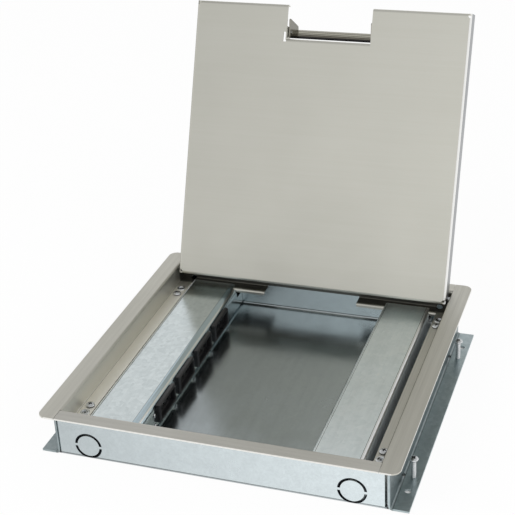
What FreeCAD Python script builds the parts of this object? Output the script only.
import FreeCAD, Part
import math
import os

# Floor socket box: a shallow galvanised pan that is cast into a floor, a stainless trim frame around
# its mouth, two covered channels inside it, and a recessed lid that hinges up from the back edge.
# Millimetres. Origin: centre of the pan's underside. +Y is the hinge side, +X right, +Z up.
# The lid and its cable flap are modelled open.

Vector = FreeCAD.Vector

# ---- Trim frame
aperture = 311.0             # clear square mouth
frame_height = 50.0          # floor level above the pan's underside
side_border = 19.5           # flange width along the left and right
end_border = 16.0            # flange width along the front and back
trim_sheet = 1.5
trim_bend = 1.0
trim_corner = 9.0            # outer corner radius of the flange
ledge_drop = 21.0            # floor level down to the ledge's top
ledge_width = 14.1
lip_height = 4.2             # turned-down edge of the front and back tabs
tab_length = 88.4            # each front and back tab, from the side ledge inwards
seam = 0.4                   # open joint between the frame's four pieces
corner_relief = 3.5          # relief holes where skirt and ledges meet in the corners

# ---- Galvanised pan
pan_sheet = 1.2
pan_bend = 2.8
pan_side_gap = 3.6           # between the trim's skirt and the side walls
pan_end_gap = 1.8            # between the trim's skirt and the front and back walls
wall_drop = 3.7              # floor level down to the top of the walls
end_wall_inset = 2.4         # the front and back walls stop short of the sides
side_wall_inset = 3.0        # and the side walls short of the ends
knockout_inset = 29.9        # from the end of the front or back wall
knockout_z = 15.7
knockout_radius = 12.8
knockout_slot = 1.5
knockout_bridge = 2.6

# ---- Foot angles along both sides of the pan
foot_sheet = 2.0
foot_bend = 2.0
foot_width = 19.0
foot_length = 310.0
foot_centre_y = -3.5
foot_hole_inset = 11.5       # from the foot's inner face
fixing_end_inset = 28.5      # fixing holes, from the foot's ends
fixing_hole_radius = 3.25
levelling_end_inset = 50.0   # levelling screws, from the foot's ends
bend_slot = 5.0              # slots in the bend, beside the levelling screws

# ---- Fasteners
screw_radius = 2.5           # M5
screw_head_radius = 4.6
screw_head_height = 2.7
thread_clearance = 0.06
levelling_screw_length = 24.0
fit_gap = 0.2                # pieces that lie face to face in assembly

# ---- Trim fixing at each corner: a screw pulls the frame down, a set screw holds it up
corner_inset = 6.1           # from the ledge's inner edge
fixing_screw_inset = 27.1    # from the mouth's end ledge, along the side
set_screw_inset = 14.7
trim_nut_radius = 4.8
trim_nut_body = 3.6
trim_nut_rim = 1.2
trim_nut_length = 4.3        # below the ledge's top
set_screw_recess = 1.0       # set screw's end below the nut's rim
bracket_sheet = 1.5
bracket_width = 27.0
bracket_foot = 5.0
bracket_drop = 5.0           # ledge's top down to the bracket's tab

# ---- Pads under the closed lid's front edge
pad_width = 24.0
pad_depth = 6.5
pad_clearance = 0.3

# ---- Channels
channel_sheet = 1.0
channel_bend = 2.6
channel_foot_bend = 1.8
channel_top_drop = 20.0      # floor level down to the channels' tops
channel_overlap = 8.0        # each end's overlap on the trim's tabs
channel_end_gap = 0.4        # between the channels' faces and the pan's front and back walls
channel_lip = 12.0
channel_notch = 11.7         # ledge's top down to the notch at the faces' ends
power_channel_width = 55.0
power_face_bend = 7.6        # wide round along the sockets' side
power_channel_gap = 0.4      # between the ledge and the outer wall
data_channel_width = 50.6
data_channel_gap = 7.4

# ---- Inside the power channel, from the channel's ends
channel_screw_inset = 18.6
earth_inset = 21.3
terminal_inset = 31.2

# ---- Socket outlets in the power channel, blank plates in the data channel
socket_count = 4
socket_pitch = 52.0
socket_shift = 3.0           # the row's middle, towards the hinge side
socket_level = 17.2          # middle height above the pan's underside
bezel_width = 41.4
bezel_height = 20.2
bezel_proud = 4.5
socket_body_width = 38.0
socket_body_height = 17.0
socket_body_depth = 14.0
recess_width = 34.8
recess_height = 14.4
recess_floor = -1.0
contact_pitch = 9.0
cutout_clearance = 0.2
socket_screw_levels = (1.3, -10.5)

# ---- Lid
lid_side_gap = 2.9           # to the trim's skirt, with the lid closed
lid_rear_gap = 3.0
lid_front_gap = 2.7
lid_depth = 16.5
lid_sheet = 1.2
lid_bend = 1.8
lid_relief = 2.2
pivot_inset = 5.1            # hinge axis, from the lid's rear face
pivot_drop = 4.9             # and below floor level
lid_open_angle = 112.5
hinge_pin_radius = 2.0

# ---- Cable flap in the lid's front edge
notch_half = 47.0
notch_depth = 36.7           # lid's front face to the upstand behind the flap
flap_side_gap = 0.8
flap_front_gap = 2.3         # flap's front edge, from the lid's front face
flap_sheet = 1.2
flap_pivot_inset = 7.9       # flap's axis, from the upstand
flap_pivot_drop = 5.5
flap_back = 5.0
flap_cheek = 20.4
flap_open_angle = 71.0
flap_pin_radius = 1.5

# ---- Sizes that follow from those above
half_aperture = aperture / 2
frame_width = aperture + 2 * side_border
frame_depth = aperture + 2 * end_border
skirt = half_aperture + trim_sheet
ledge_top = frame_height - ledge_drop
ledge_edge = half_aperture - ledge_width
tab_inner = ledge_edge - tab_length

pan_half_x = skirt + pan_side_gap + pan_sheet
pan_half_y = skirt + pan_end_gap + pan_sheet
wall_top = frame_height - wall_drop
end_wall_half = pan_half_x - end_wall_inset
side_wall_half = pan_half_y - side_wall_inset
knockout_x = end_wall_half - knockout_inset

foot_inner = pan_half_x + fit_gap
foot_hole_x = foot_inner + foot_hole_inset
fixing_y = foot_length / 2 - fixing_end_inset
levelling_y = foot_length / 2 - levelling_end_inset

corner_x = ledge_edge + corner_inset
fixing_screw_y = ledge_edge - fixing_screw_inset
set_screw_y = ledge_edge - set_screw_inset

channel_foot = pan_sheet + fit_gap
channel_top = frame_height - channel_top_drop
channel_half = ledge_edge + channel_overlap
face_half = pan_half_y - pan_sheet - channel_end_gap
power_channel_edge = ledge_edge - power_channel_gap
data_channel_edge = ledge_edge - data_channel_gap
power_face = power_channel_width - power_channel_edge
data_face = data_channel_edge - data_channel_width
socket_ys = [socket_shift + (i - (socket_count - 1) / 2) * socket_pitch for i in range(socket_count)]
screw_gap_ys = [socket_shift + (i - socket_count / 2) * socket_pitch for i in range(socket_count + 1)]

lid_half = half_aperture - lid_side_gap
lid_rear = half_aperture - lid_rear_gap
lid_front = lid_front_gap - half_aperture
lid_bottom = frame_height - lid_depth
pivot_y = lid_rear - pivot_inset
pivot_z = frame_height - pivot_drop

notch_wall_y = lid_front + notch_depth
flap_half = notch_half - flap_side_gap
flap_pivot_y = notch_wall_y - flap_pivot_inset
flap_pivot_z = frame_height - flap_pivot_drop

X_AXIS = Vector(1, 0, 0)
Y_AXIS = Vector(0, 1, 0)
Z_AXIS = Vector(0, 0, 1)


# ---- Outlines
def place(point, plane, level):
    """A 2-D point on the plane "XY", "YZ" or "XZ", at a level along the third axis."""
    a, b = point
    return {"XY": Vector(a, b, level), "YZ": Vector(level, a, b), "XZ": Vector(a, level, b)}[plane]


def rounded_wire(points, radii, plane, level):
    """Closed outline whose corners are rounded, each by its own radius."""
    corners = [place(p, plane, level) for p in points]
    edges = []
    ends = []
    for i, corner in enumerate(corners):
        before = (corners[i - 1] - corner).normalize()
        after = (corners[(i + 1) % len(corners)] - corner).normalize()
        if radii[i] <= 0:
            ends.append((corner, corner, None))
            continue
        half = before.getAngle(after) / 2
        reach = radii[i] / math.tan(half)
        bisector = (before + after).normalize()
        middle = corner + bisector * (radii[i] / math.sin(half) - radii[i])
        ends.append((corner + before * reach, corner + after * reach, middle))
    for i, (start, end, middle) in enumerate(ends):
        if middle is not None:
            edges.append(Part.Arc(start, middle, end).toShape())
        following = ends[(i + 1) % len(ends)][0]
        if (following - end).Length > 1e-6:
            edges.append(Part.LineSegment(end, following).toShape())
    return Part.Wire(edges)


def prism(points, radii, plane, start, end):
    """Outline extruded along the third axis from start to end."""
    if not isinstance(radii, (list, tuple)):
        radii = [radii] * len(points)
    face = Part.Face(rounded_wire(points, radii, plane, start))
    return face.extrude(place((0, 0), plane, end - start))


def rectangle(low_a, high_a, low_b, high_b):
    return [(low_a, low_b), (high_a, low_b), (high_a, high_b), (low_a, high_b)]


def offset_path(path, distance):
    """Open path moved sideways, to the left of its direction when distance is positive."""
    normals = []
    for (a0, b0), (a1, b1) in zip(path, path[1:]):
        length = math.hypot(a1 - a0, b1 - b0)
        normals.append((-(b1 - b0) / length, (a1 - a0) / length))
    moved = []
    for i, (a, b) in enumerate(path):
        first = normals[max(i - 1, 0)]
        second = normals[min(i, len(normals) - 1)]
        scale = distance / (1 + first[0] * second[0] + first[1] * second[1])
        moved.append((a + (first[0] + second[0]) * scale, b + (first[1] + second[1]) * scale))
    return moved


def folded_sheet(path, sheet, bend, plane, start, end):
    """Folded strip: path is one face, the sheet lies to its left (right when negative)."""
    near_radii = [0.0]
    far_radii = [0.0]
    for (a0, b0), (a1, b1), (a2, b2) in zip(path, path[1:], path[2:]):
        turn = (a1 - a0) * (b2 - b1) - (b1 - b0) * (a2 - a1)
        outside = turn * sheet > 0
        near_radii.append(bend + abs(sheet) if outside else bend)
        far_radii.append(bend if outside else bend + abs(sheet))
    near_radii.append(0.0)
    far_radii.append(0.0)
    points = path + offset_path(path, sheet)[::-1]
    return prism(points, near_radii + far_radii[::-1], plane, start, end)


# ---- Solids
def box(low, high):
    low, high = Vector(*low), Vector(*high)
    size = high - low
    return Part.makeBox(size.x, size.y, size.z, low)


def cylinder(radius, start, direction, length):
    return Part.makeCylinder(radius, length, Vector(*start), direction)


def turned(profile, origin, direction):
    """Profile of (radius, height) points, turned about a line through origin along direction."""
    points = [Vector(r, 0, h) for r, h in profile]
    wire = Part.makePolygon(points + [points[0]])
    solid = Part.Face(wire).revolve(Vector(0, 0, 0), Z_AXIS, 360)
    solid.Placement = FreeCAD.Placement(Vector(*origin), FreeCAD.Rotation(Z_AXIS, direction))
    return solid


def pan_screw(origin, direction, length, radius=screw_radius, head=screw_head_radius, rise=screw_head_height):
    """Pan-head screw: origin is under its head, and the head stands along direction."""
    head_side = [(head, 0), (head, rise * 0.45), (head * 0.78, rise * 0.86), (0, rise)]
    return turned([(0, -length), (radius, -length), (radius, 0)] + head_side, origin, direction)


def hexagon(across_flats):
    reach = across_flats / math.sqrt(3)
    return [(reach * math.cos(i * math.pi / 3), reach * math.sin(i * math.pi / 3)) for i in range(6)]


def mirror_x(shape):
    return shape.mirror(Vector(0, 0, 0), X_AXIS)


def mirror_y(shape):
    return shape.mirror(Vector(0, 0, 0), Y_AXIS)


def four_corners(shape):
    """The back right piece, and its copies at the other three corners."""
    right = [shape, mirror_y(shape)]
    return right + [mirror_x(piece) for piece in right]


def tidy(shape):
    return shape.removeSplitter()


# ---- Galvanised pan
def knockout(x, outer_y):
    """Ring slot of a conduit knockout, with two bridges that keep its disc in place."""
    ring = cylinder(knockout_radius, (x, outer_y - 3, knockout_z), Y_AXIS, 6)
    ring = ring.cut(cylinder(knockout_radius - knockout_slot, (x, outer_y - 3, knockout_z), Y_AXIS, 6))
    reach = knockout_radius + 1
    low = (x - reach, outer_y - 3, knockout_z - knockout_bridge / 2)
    return ring.cut(box(low, (x + reach, outer_y + 3, knockout_z + knockout_bridge / 2)))


def base_pan():
    front_to_back = [(-pan_half_y, wall_top), (-pan_half_y, 0), (pan_half_y, 0), (pan_half_y, wall_top)]
    side_to_side = [(-pan_half_x, wall_top), (-pan_half_x, 0), (pan_half_x, 0), (pan_half_x, wall_top)]
    pan = folded_sheet(front_to_back, pan_sheet, pan_bend, "YZ", -end_wall_half, end_wall_half)
    sides = folded_sheet(side_to_side, pan_sheet, pan_bend, "XZ", -side_wall_half, side_wall_half)
    pan = pan.fuse(sides)
    for wall_y in (-pan_half_y, pan_half_y):
        for x in (-knockout_x, knockout_x):
            pan = pan.cut(knockout(x, wall_y))
    for x, y in channel_screw_places():
        pan = pan.cut(cylinder(1.5 + thread_clearance, (x, y, -1), Z_AXIS, 5))
    pan = pan.cut(cylinder(screw_radius + thread_clearance, (*earth_place(), -1), Z_AXIS, 5))
    return tidy(pan)


def foot_angle():
    """Right-hand angle: a tall leg against the pan and a foot with screw and fixing holes."""
    path = [(foot_inner, wall_top), (foot_inner, 0), (foot_inner + foot_width, 0)]
    start = foot_centre_y - foot_length / 2
    angle = folded_sheet(path, foot_sheet, foot_bend, "XZ", start, start + foot_length)
    for sign in (-1, 1):
        fixing = (foot_hole_x, foot_centre_y + sign * fixing_y, -1)
        levelling = (foot_hole_x, foot_centre_y + sign * levelling_y, -1)
        angle = angle.cut(cylinder(fixing_hole_radius, fixing, Z_AXIS, 5))
        angle = angle.cut(cylinder(screw_radius + thread_clearance, levelling, Z_AXIS, 5))
        slot = box((foot_inner - 1, levelling[1] - bend_slot / 2, -1),
                   (foot_inner + foot_sheet + 2, levelling[1] + bend_slot / 2, foot_sheet + 2))
        angle = angle.cut(slot)
    return angle


def levelling_screw(sign_x, sign_y):
    """Jack screw in a foot, its tip just above the sub-floor."""
    y = foot_centre_y + sign_y * levelling_y
    under_head = fit_gap + levelling_screw_length - screw_head_height
    return pan_screw((sign_x * foot_hole_x, y, under_head), Z_AXIS, under_head - fit_gap)


# ---- Trim frame
def trim_path(outer, tabs):
    """Section of the trim: flange, skirt and ledge, seen on its upper faces."""
    path = [(outer, frame_height), (half_aperture, frame_height),
            (half_aperture, ledge_top), (ledge_edge, ledge_top)]
    return path + [(ledge_edge, ledge_top - lip_height)] if tabs else path


def flange_outline():
    """Block with the trim frame's outer outline and rounded corners."""
    corners = rectangle(-frame_width / 2, frame_width / 2, -frame_depth / 2, frame_depth / 2)
    return prism(corners, trim_corner, "XY", 0, frame_height)


def corner_reliefs():
    """Round hole in each corner, through the bend between skirt and ledge."""
    spot = Vector(ledge_edge + 1, half_aperture - 0.5, ledge_top - 0.5)
    return four_corners(Part.makeSphere(corner_relief, spot))


def trim_side():
    """Right-hand piece: it runs the full depth of the flange and carries both corners."""
    inner_end = half_aperture - 0.1
    piece = folded_sheet(trim_path(frame_width / 2, False), trim_sheet, trim_bend, "XZ", -inner_end, inner_end)
    corner_flange = box((skirt, inner_end, frame_height - trim_sheet),
                        (frame_width / 2, frame_depth / 2, frame_height))
    piece = piece.fuse([corner_flange, mirror_y(corner_flange)]).common(flange_outline())
    for sign in (-1, 1):
        screw = cylinder(screw_radius + 0.25, (corner_x, sign * fixing_screw_y, 0), Z_AXIS, frame_height)
        nut = cylinder(trim_nut_body + 0.1, (corner_x, sign * set_screw_y, 0), Z_AXIS, frame_height)
        piece = piece.cut([screw, nut])
    pin = cylinder(hinge_pin_radius + thread_clearance, (0, pivot_y, pivot_z), X_AXIS, frame_width)
    return tidy(piece.cut([pin] + corner_reliefs()))


def trim_end():
    """Back piece between the two sides; its ledge is cut away between the two tabs."""
    half = skirt - seam
    piece = folded_sheet(trim_path(frame_depth / 2, True), trim_sheet, trim_bend, "YZ", -half, half)
    low, high = ledge_top - lip_height - trim_sheet, ledge_top + trim_bend + 0.01
    outline = [(-half, low), (-tab_inner, low), (-tab_inner, high), (tab_inner, high), (tab_inner, low),
               (half, low), (half, frame_height), (-half, frame_height)]
    radii = [0, lip_height, 0, 0, lip_height, 0, 0, 0]
    piece = piece.common(prism(outline, radii, "XZ", 0, frame_depth))
    for sign in (-1, 1):
        outer = sorted((sign * (ledge_edge - 0.1), sign * frame_width))
        piece = piece.cut(box((outer[0], 0, low), (outer[1], half_aperture, high)))
    return tidy(piece.cut(corner_reliefs()))


def corner_bracket():
    """Bracket on the pan's side wall: threaded for the fixing screw, and a stop for the set screw."""
    top = ledge_top - bracket_drop
    wall = pan_half_x - pan_sheet - fit_gap
    path = [(wall, bracket_foot), (wall, top), (ledge_edge + 0.6, top)]
    start = fixing_screw_y - bracket_width / 4
    bracket = folded_sheet(path, bracket_sheet, trim_bend, "XZ", start, start + bracket_width)
    hole = cylinder(screw_radius + thread_clearance, (corner_x, fixing_screw_y, 0), Z_AXIS, frame_height)
    return bracket.cut(hole)


def trim_fixing_screw():
    return pan_screw((corner_x, fixing_screw_y, ledge_top + 0.05), Z_AXIS, 12)


def trim_nut():
    """Rivet nut in the ledge."""
    bore, body, rim, top = screw_radius + thread_clearance, trim_nut_body, trim_nut_radius, trim_nut_rim
    profile = [(bore, -trim_nut_length), (body, -trim_nut_length), (body, 0.05), (rim, 0.05), (rim, top - 0.5),
               (rim - 0.5, top), (bore + 0.5, top), (bore, top - 0.5)]
    return turned(profile, (corner_x, set_screw_y, ledge_top), Z_AXIS)


def set_screw():
    """Socket set screw in the rivet nut; its end stands on the bracket and holds the frame up."""
    foot = -bracket_drop + 0.05
    top = trim_nut_rim - set_screw_recess
    radius = screw_radius
    profile = [(0, foot), (radius - 1, foot), (radius, foot + 1), (radius, top - 0.4), (radius - 0.4, top), (0, top)]
    screw = turned(profile, (corner_x, set_screw_y, ledge_top), Z_AXIS)
    socket = prism(hexagon(2.5), 0, "XY", 0, 2.5)
    socket.translate(Vector(corner_x, set_screw_y, ledge_top + top - 2.4))
    return screw.cut(socket)


def lid_rest_pads():
    """Rubber pads on the front tabs, just under the closed lid."""
    middle = (tab_inner + data_face) / 2
    low_y = -ledge_edge - 1.0 - pad_depth
    pad = prism(rectangle(middle - pad_width / 2, middle + pad_width / 2, low_y, low_y + pad_depth), 1.5, "XY",
                ledge_top, lid_bottom - pad_clearance)
    return [pad, mirror_x(pad)]


# ---- Channels
def on_face(shape, y):
    """Moved to the left channel's inner face: local X points out of it."""
    placed = shape.copy()
    placed.translate(Vector(power_face, y, socket_level))
    return placed


def to_data_side(shape):
    """The same piece on the right-hand channel's inner face."""
    moved = mirror_x(shape)
    moved.translate(Vector(data_face + power_face, 0, 0))
    return moved


def channel_screw_places():
    """Screws through the channels' bottom lips, two on each side of each channel."""
    inset = channel_lip / 2 + 2
    y = channel_half - channel_screw_inset
    return [(x, sign * y) for sign in (-1, 1) for x in (inset - power_channel_edge, data_channel_edge - inset)]


def earth_place():
    return power_channel_width / 2 - power_channel_edge, earth_inset - channel_half


def cover_channel(width, face_bend):
    """Left-hand cover channel whose inner face has cut-outs; face_bend rounds its upper inner edge."""
    outer = -power_channel_edge
    inner = outer + width
    foot = channel_foot
    path = [(outer + channel_lip, foot), (outer, foot), (outer, channel_top), (inner, channel_top),
            (inner, foot), (inner - channel_lip, foot)]
    back_path = offset_path(path, -channel_sheet)[::-1]
    bends = [0, channel_foot_bend, channel_bend, face_bend, channel_foot_bend, 0]
    outside = [bend + channel_sheet if bend else 0 for bend in bends]
    channel = prism(path + back_path, outside + bends[::-1], "XZ", -face_half, face_half)
    notch_z = ledge_top - channel_notch
    for sign in (-1, 1):
        under_tab = sorted((sign * (ledge_edge - 0.6), sign * channel_half))
        end = sorted((sign * channel_half, sign * (face_half + 1)))
        heel = sorted((sign * (face_half - pan_bend), sign * (face_half + 1)))
        channel = channel.cut([
            box((outer - 1, under_tab[0], notch_z), (inner + 1, under_tab[1], channel_top - channel_sheet)),
            box((outer - 1, end[0], notch_z), (inner + 1, end[1], channel_top + 1)),
            box((outer - 1, heel[0], 0), (inner + 1, heel[1], channel_foot + pan_bend))])
    half_w = socket_body_width / 2 + cutout_clearance
    half_h = socket_body_height / 2 + cutout_clearance
    openings = [box((-4, y - half_w, socket_level - half_h), (4, y + half_w, socket_level + half_h))
                for y in socket_ys]
    openings += [cylinder(1.6, (-4, y, socket_level + level), X_AXIS, 8)
                 for y in screw_gap_ys for level in socket_screw_levels]
    for opening in openings:
        opening.translate(Vector(inner, 0, 0))
    openings += [cylinder(1.7, (x, y, 0), Z_AXIS, 8) for x, y in channel_screw_places() if x < 0]
    return tidy(channel.cut(openings))


def power_channel():
    """Left-hand channel, which carries the sockets."""
    return cover_channel(power_channel_width, power_face_bend)


def data_channel():
    """Right-hand channel, a little narrower."""
    channel = mirror_x(cover_channel(data_channel_width, channel_bend))
    channel.translate(Vector(data_channel_edge - power_channel_edge, 0, 0))
    return channel


def slotted_block(block):
    """Three contact slots in a socket's recess floor, each with the pocket of its contact."""
    for i, z in ((-1, 0.0), (0, -2.4), (1, 0.0)):
        y = i * contact_pitch
        slot = box((recess_floor - 1.6, y - 1.1, z - 2.6), (recess_floor + 1, y + 1.1, z + 2.6))
        pocket = box((4 - socket_body_depth, y - 2.4, z - 3.6), (recess_floor - 1.5, y + 2.4, z + 3.6))
        block = block.cut([slot, pocket])
    return block


def socket():
    """Socket outlet: proud bezel, body behind the panel, recess with three contact slots."""
    half_w, half_h = bezel_width / 2, bezel_height / 2
    bezel = prism(rectangle(-half_w, half_w, -half_h, half_h), 1.6, "YZ", 0.05, bezel_proud)
    front = [edge for edge in bezel.Edges if edge.BoundBox.XMin > bezel_proud - 0.01]
    bezel = bezel.makeFillet(0.7, front)
    body_w, body_h = socket_body_width / 2, socket_body_height / 2
    body = box((-socket_body_depth, -body_w, -body_h), (0.05, body_w, body_h))
    half_rw, half_rh = recess_width / 2, recess_height / 2
    outline = [(-half_rw, -half_rh), (half_rw, -half_rh), (half_rw, half_rh - 3), (half_rw - 3, half_rh),
               (3 - half_rw, half_rh), (-half_rw, half_rh - 3)]
    recess = prism(outline, 1.0, "YZ", recess_floor, bezel_proud + 1)
    return tidy(slotted_block(bezel.fuse(body).cut(recess)))


def contacts(y):
    """Brass contacts of one socket: each a pair of spring leaves on a root."""
    pieces = []
    for i, z in ((-1, 0.0), (0, -2.4), (1, 0.0)):
        leaf = folded_sheet([(recess_floor - 2, 1.9), (4.3 - socket_body_depth, 1.9),
                             (4.3 - socket_body_depth, -1.9), (recess_floor - 2, -1.9)],
                            0.6, 0.3, "XY", z - 3.2, z + 3.2)
        leaf.translate(Vector(0, i * contact_pitch, 0))
        pieces.append(on_face(leaf, y))
    return pieces


def socket_screw(y, level):
    screw = pan_screw((0.05, 0, level), X_AXIS, 5.5, 1.4, 2.5, 1.5)
    return on_face(screw, y)


def blank_plate(y):
    """Snap-in plate that closes an unused cut-out."""
    half_w, half_h = bezel_width / 2, bezel_height / 2
    plate = prism(rectangle(-half_w, half_w, -half_h, half_h), 1.6, "YZ", 0.05, 2.0)
    rim_w, rim_h = socket_body_width / 2, socket_body_height / 2
    rim = box((-7, -rim_w, -rim_h), (0.05, rim_w, rim_h))
    rim = rim.cut(box((-8, 1.6 - rim_w, 1.6 - rim_h), (0, rim_w - 1.6, rim_h - 1.6)))
    return to_data_side(on_face(plate.fuse(rim), y))


def channel_screw(x, y):
    return pan_screw((x, y, channel_foot + channel_sheet + 0.05), Z_AXIS, 2.2, 1.5, 3.0, 1.8)


def terminal_place():
    return power_channel_width * 0.55 - power_channel_edge, channel_half - terminal_inset


def terminal_block():
    """Three-pole block for the supply cable, on the pan inside the power channel."""
    x, y = terminal_place()
    block = box((x - 8, y - 17, channel_foot), (x + 8, y + 17, channel_foot + 14))
    for i in (-1, 0, 1):
        pole = y + i * 11.0
        block = block.cut(cylinder(2.3, (x - 9, pole, channel_foot + 5), X_AXIS, 18))
        block = block.cut(cylinder(2.6, (x, pole, channel_foot + 7), Z_AXIS, 8))
    return block


def terminal_screws():
    x, y = terminal_place()
    return [turned([(0, 0), (2.5, 0), (2.5, 3.0), (0, 3.0)], (x, y + i * 11.0, channel_foot + 8.5), Z_AXIS)
            for i in (-1, 0, 1)]


def earth_stud():
    x, y = earth_place()
    profile = [(0, 0.1), (screw_radius, 0.1), (screw_radius, 15), (screw_radius - 0.6, 15.6), (0, 15.6)]
    return turned(profile, (x, y, 0), Z_AXIS)


def earth_nut():
    """Washer and nut on the earth stud."""
    x, y = earth_place()
    bore = screw_radius + thread_clearance
    hole = cylinder(bore, (0, 0, -1), Z_AXIS, 10)
    washer = cylinder(5.0, (0, 0, 0), Z_AXIS, 1.0).cut(hole)
    nut = prism(hexagon(8.0), 0, "XY", 1.0, 5.0).cut(hole)
    pieces = [washer, nut]
    for piece in pieces:
        piece.translate(Vector(x, y, pan_sheet + 0.05))
    return pieces


# ---- Lid, modelled closed and then swung open
def swing_open(shape):
    swung = shape.copy()
    swung.rotate(Vector(0, pivot_y, pivot_z), X_AXIS, -lid_open_angle)
    return swung


def lid_shell():
    """Tray open upwards for the floor covering, with round bends along its bottom."""
    outer = box((-lid_half, lid_front, lid_bottom), (lid_half, lid_rear, frame_height))
    inner = box((lid_sheet - lid_half, lid_front + lid_sheet, lid_bottom + lid_sheet),
                (lid_half - lid_sheet, lid_rear - lid_sheet, frame_height + 1))
    low_edges = [e for e in outer.Edges if e.BoundBox.ZMax < lid_bottom + 0.01]
    outer = outer.makeFillet(lid_bend + lid_sheet, low_edges)
    low_edges = [e for e in inner.Edges if e.BoundBox.ZMax < lid_bottom + lid_sheet + 0.01]
    return outer.cut(inner.makeFillet(lid_bend, low_edges))


def lid_tray():
    """Lid tray with the notch for cables, the upstand behind it and two ears for the flap."""
    tray = lid_shell()
    outside = lid_bend + lid_sheet
    notch_edge = notch_wall_y + outside
    notch = box((-notch_half, lid_front - 1, lid_bottom - 1), (notch_half, notch_edge, frame_height + 1))
    wall_gap = box((-notch_half - 3, lid_front - 1, lid_bottom + outside),
                   (notch_half + 3, lid_front + outside, frame_height + 1))
    tray = tray.cut([notch, wall_gap])
    upstand = folded_sheet([(notch_edge + 1, lid_bottom), (notch_wall_y, lid_bottom), (notch_wall_y, frame_height)],
                           -lid_sheet, lid_bend, "YZ", -notch_half, notch_half)
    tray = tray.fuse(upstand)
    ear_back = notch_wall_y + lid_sheet
    ear = prism([(ear_back, lid_bottom), (flap_pivot_y - 6, lid_bottom), (flap_pivot_y - 5, flap_pivot_z + 3.5),
                 (ear_back, flap_pivot_z + 3.5)], [0, 0, 3, 0], "YZ", notch_half, notch_half + lid_sheet)
    tray = tray.fuse([ear, mirror_x(ear)])
    side_relief = box((-notch_half - 3.2, notch_wall_y - 7.5, lid_bottom - 1),
                      (-notch_half, notch_edge, lid_bottom + lid_sheet + 0.4))
    tray = tray.cut(side_relief)
    for sign in (-1, 1):
        for y in (lid_rear - lid_relief, lid_front + lid_relief):
            relief = cylinder(lid_relief, (sign * (lid_half - lid_relief), y, lid_bottom - 1), Z_AXIS, 3.4)
            tray = tray.cut(relief)
    hinge = cylinder(hinge_pin_radius + 0.02, (-lid_half - 1, pivot_y, pivot_z), X_AXIS, lid_half * 2 + 2)
    flap = cylinder(flap_pin_radius + 0.02, (-notch_half - 3, flap_pivot_y, flap_pivot_z), X_AXIS,
                    notch_half * 2 + 6)
    return swing_open(tidy(tray.cut([hinge, flap])))


def lid_hinge_pins():
    """Headed pins that join the lid's side walls to the trim's skirt."""
    wall = lid_half - lid_sheet
    radius, head = hinge_pin_radius, hinge_pin_radius + 1.5
    end = lid_sheet + lid_side_gap + trim_sheet + 0.2
    profile = [(0, -1.2), (head - 0.4, -1.2), (head, -0.8), (head, -0.05), (radius, -0.05), (radius, end - 0.4),
               (radius - 0.4, end), (0, end)]
    pin = swing_open(turned(profile, (wall, pivot_y, pivot_z), X_AXIS))
    return [pin, mirror_x(pin)]


def flap_pins():
    """Pins through the lid's ears, on which the flap's cheeks turn."""
    radius = flap_pin_radius
    outer = notch_half + lid_sheet
    profile = [(0, -4.0), (radius, -4.0), (radius, 0.05), (2.6, 0.05), (2.6, 1.0), (2.1, 1.4), (0, 1.4)]
    pin = swing_open(turned(profile, (outer, flap_pivot_y, flap_pivot_z), X_AXIS))
    return [pin, mirror_x(pin)]


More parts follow.
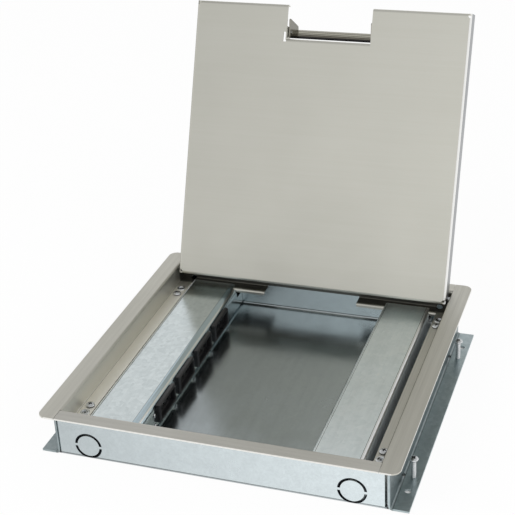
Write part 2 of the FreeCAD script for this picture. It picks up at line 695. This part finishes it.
def cable_flap():
    """Flap over the lid's notch: a plate with a cheek at each end, turned on the flap pins."""
    under = frame_height - 0.2 - flap_sheet
    front, back = lid_front + flap_front_gap, flap_pivot_y + flap_back
    plate = prism(rectangle(-flap_half, flap_half, front, back), [3, 3, 0, 0], "XY", under, under + flap_sheet)
    near = [e for e in plate.Edges if e.BoundBox.YMin > back - 0.01 and e.BoundBox.XLength > flap_half]
    plate = plate.makeFillet(flap_sheet * 0.45, near)
    cheek = prism([(front, under + 0.5), (front, under - 4), (flap_pivot_y + 2.3, under - flap_cheek),
                   (flap_pivot_y + 4.2, under - 6), (flap_pivot_y + 4.2, under + 0.5)], [0, 2, 2, 4, 0],
                  "YZ", flap_half - flap_sheet, flap_half)
    flap = plate.fuse([cheek, mirror_x(cheek)])
    bore = cylinder(flap_pin_radius + thread_clearance, (-flap_half - 1, flap_pivot_y, flap_pivot_z), X_AXIS,
                    flap_half * 2 + 2)
    flap = tidy(flap.cut(bore))
    flap.rotate(Vector(0, flap_pivot_y, flap_pivot_z), X_AXIS, -flap_open_angle)
    return swing_open(flap)


# ---- Write one STEP file for each node
def write(node, shapes):
    solids = [solid for shape in shapes for solid in shape.Solids]
    Part.Compound(solids).exportStep("parts/" + node + ".step")
    print(node, len(solids), "solids", all(solid.isValid() for solid in solids))


os.makedirs("parts", exist_ok=True)

write("base_pan", [base_pan()])
right_foot = foot_angle()
write("foot_angle_right", [right_foot])
write("foot_angle_left", [mirror_x(right_foot)])
for name_y, sign_y in (("front", -1), ("back", 1)):
    for name_x, sign_x in (("left", -1), ("right", 1)):
        write("levelling_screw_" + name_y + "_" + name_x, [levelling_screw(sign_x, sign_y)])

right_trim = trim_side()
back_trim = trim_end()
write("trim_side_right", [right_trim])
write("trim_side_left", [mirror_x(right_trim)])
write("trim_back", [back_trim])
write("trim_front", [mirror_y(back_trim)])
write("corner_brackets", four_corners(corner_bracket()))
write("trim_fixing_screws", four_corners(trim_fixing_screw()))
write("trim_nuts", four_corners(trim_nut()))
write("trim_set_screws", four_corners(set_screw()))
write("lid_rest_pads", lid_rest_pads())

write("power_channel", [power_channel()])
write("data_channel", [data_channel()])
outlet = socket()
for number, y in enumerate(socket_ys, 1):
    write("power_socket_" + str(number), [on_face(outlet, y)])
write("socket_contacts", [piece for y in socket_ys for piece in contacts(y)])
write("socket_screws", [socket_screw(y, level) for y in screw_gap_ys for level in socket_screw_levels])
write("blank_plates", [blank_plate(y) for y in socket_ys])
write("channel_screws", [channel_screw(x, y) for x, y in channel_screw_places()])
write("terminal_block", [terminal_block()])
write("terminal_screws", terminal_screws())
write("earth_stud", [earth_stud()])
write("earth_nut", earth_nut())

write("lid_tray", [lid_tray()])
write("lid_hinge_pins", lid_hinge_pins())
write("flap_pins", flap_pins())
write("cable_flap", [cable_flap()])
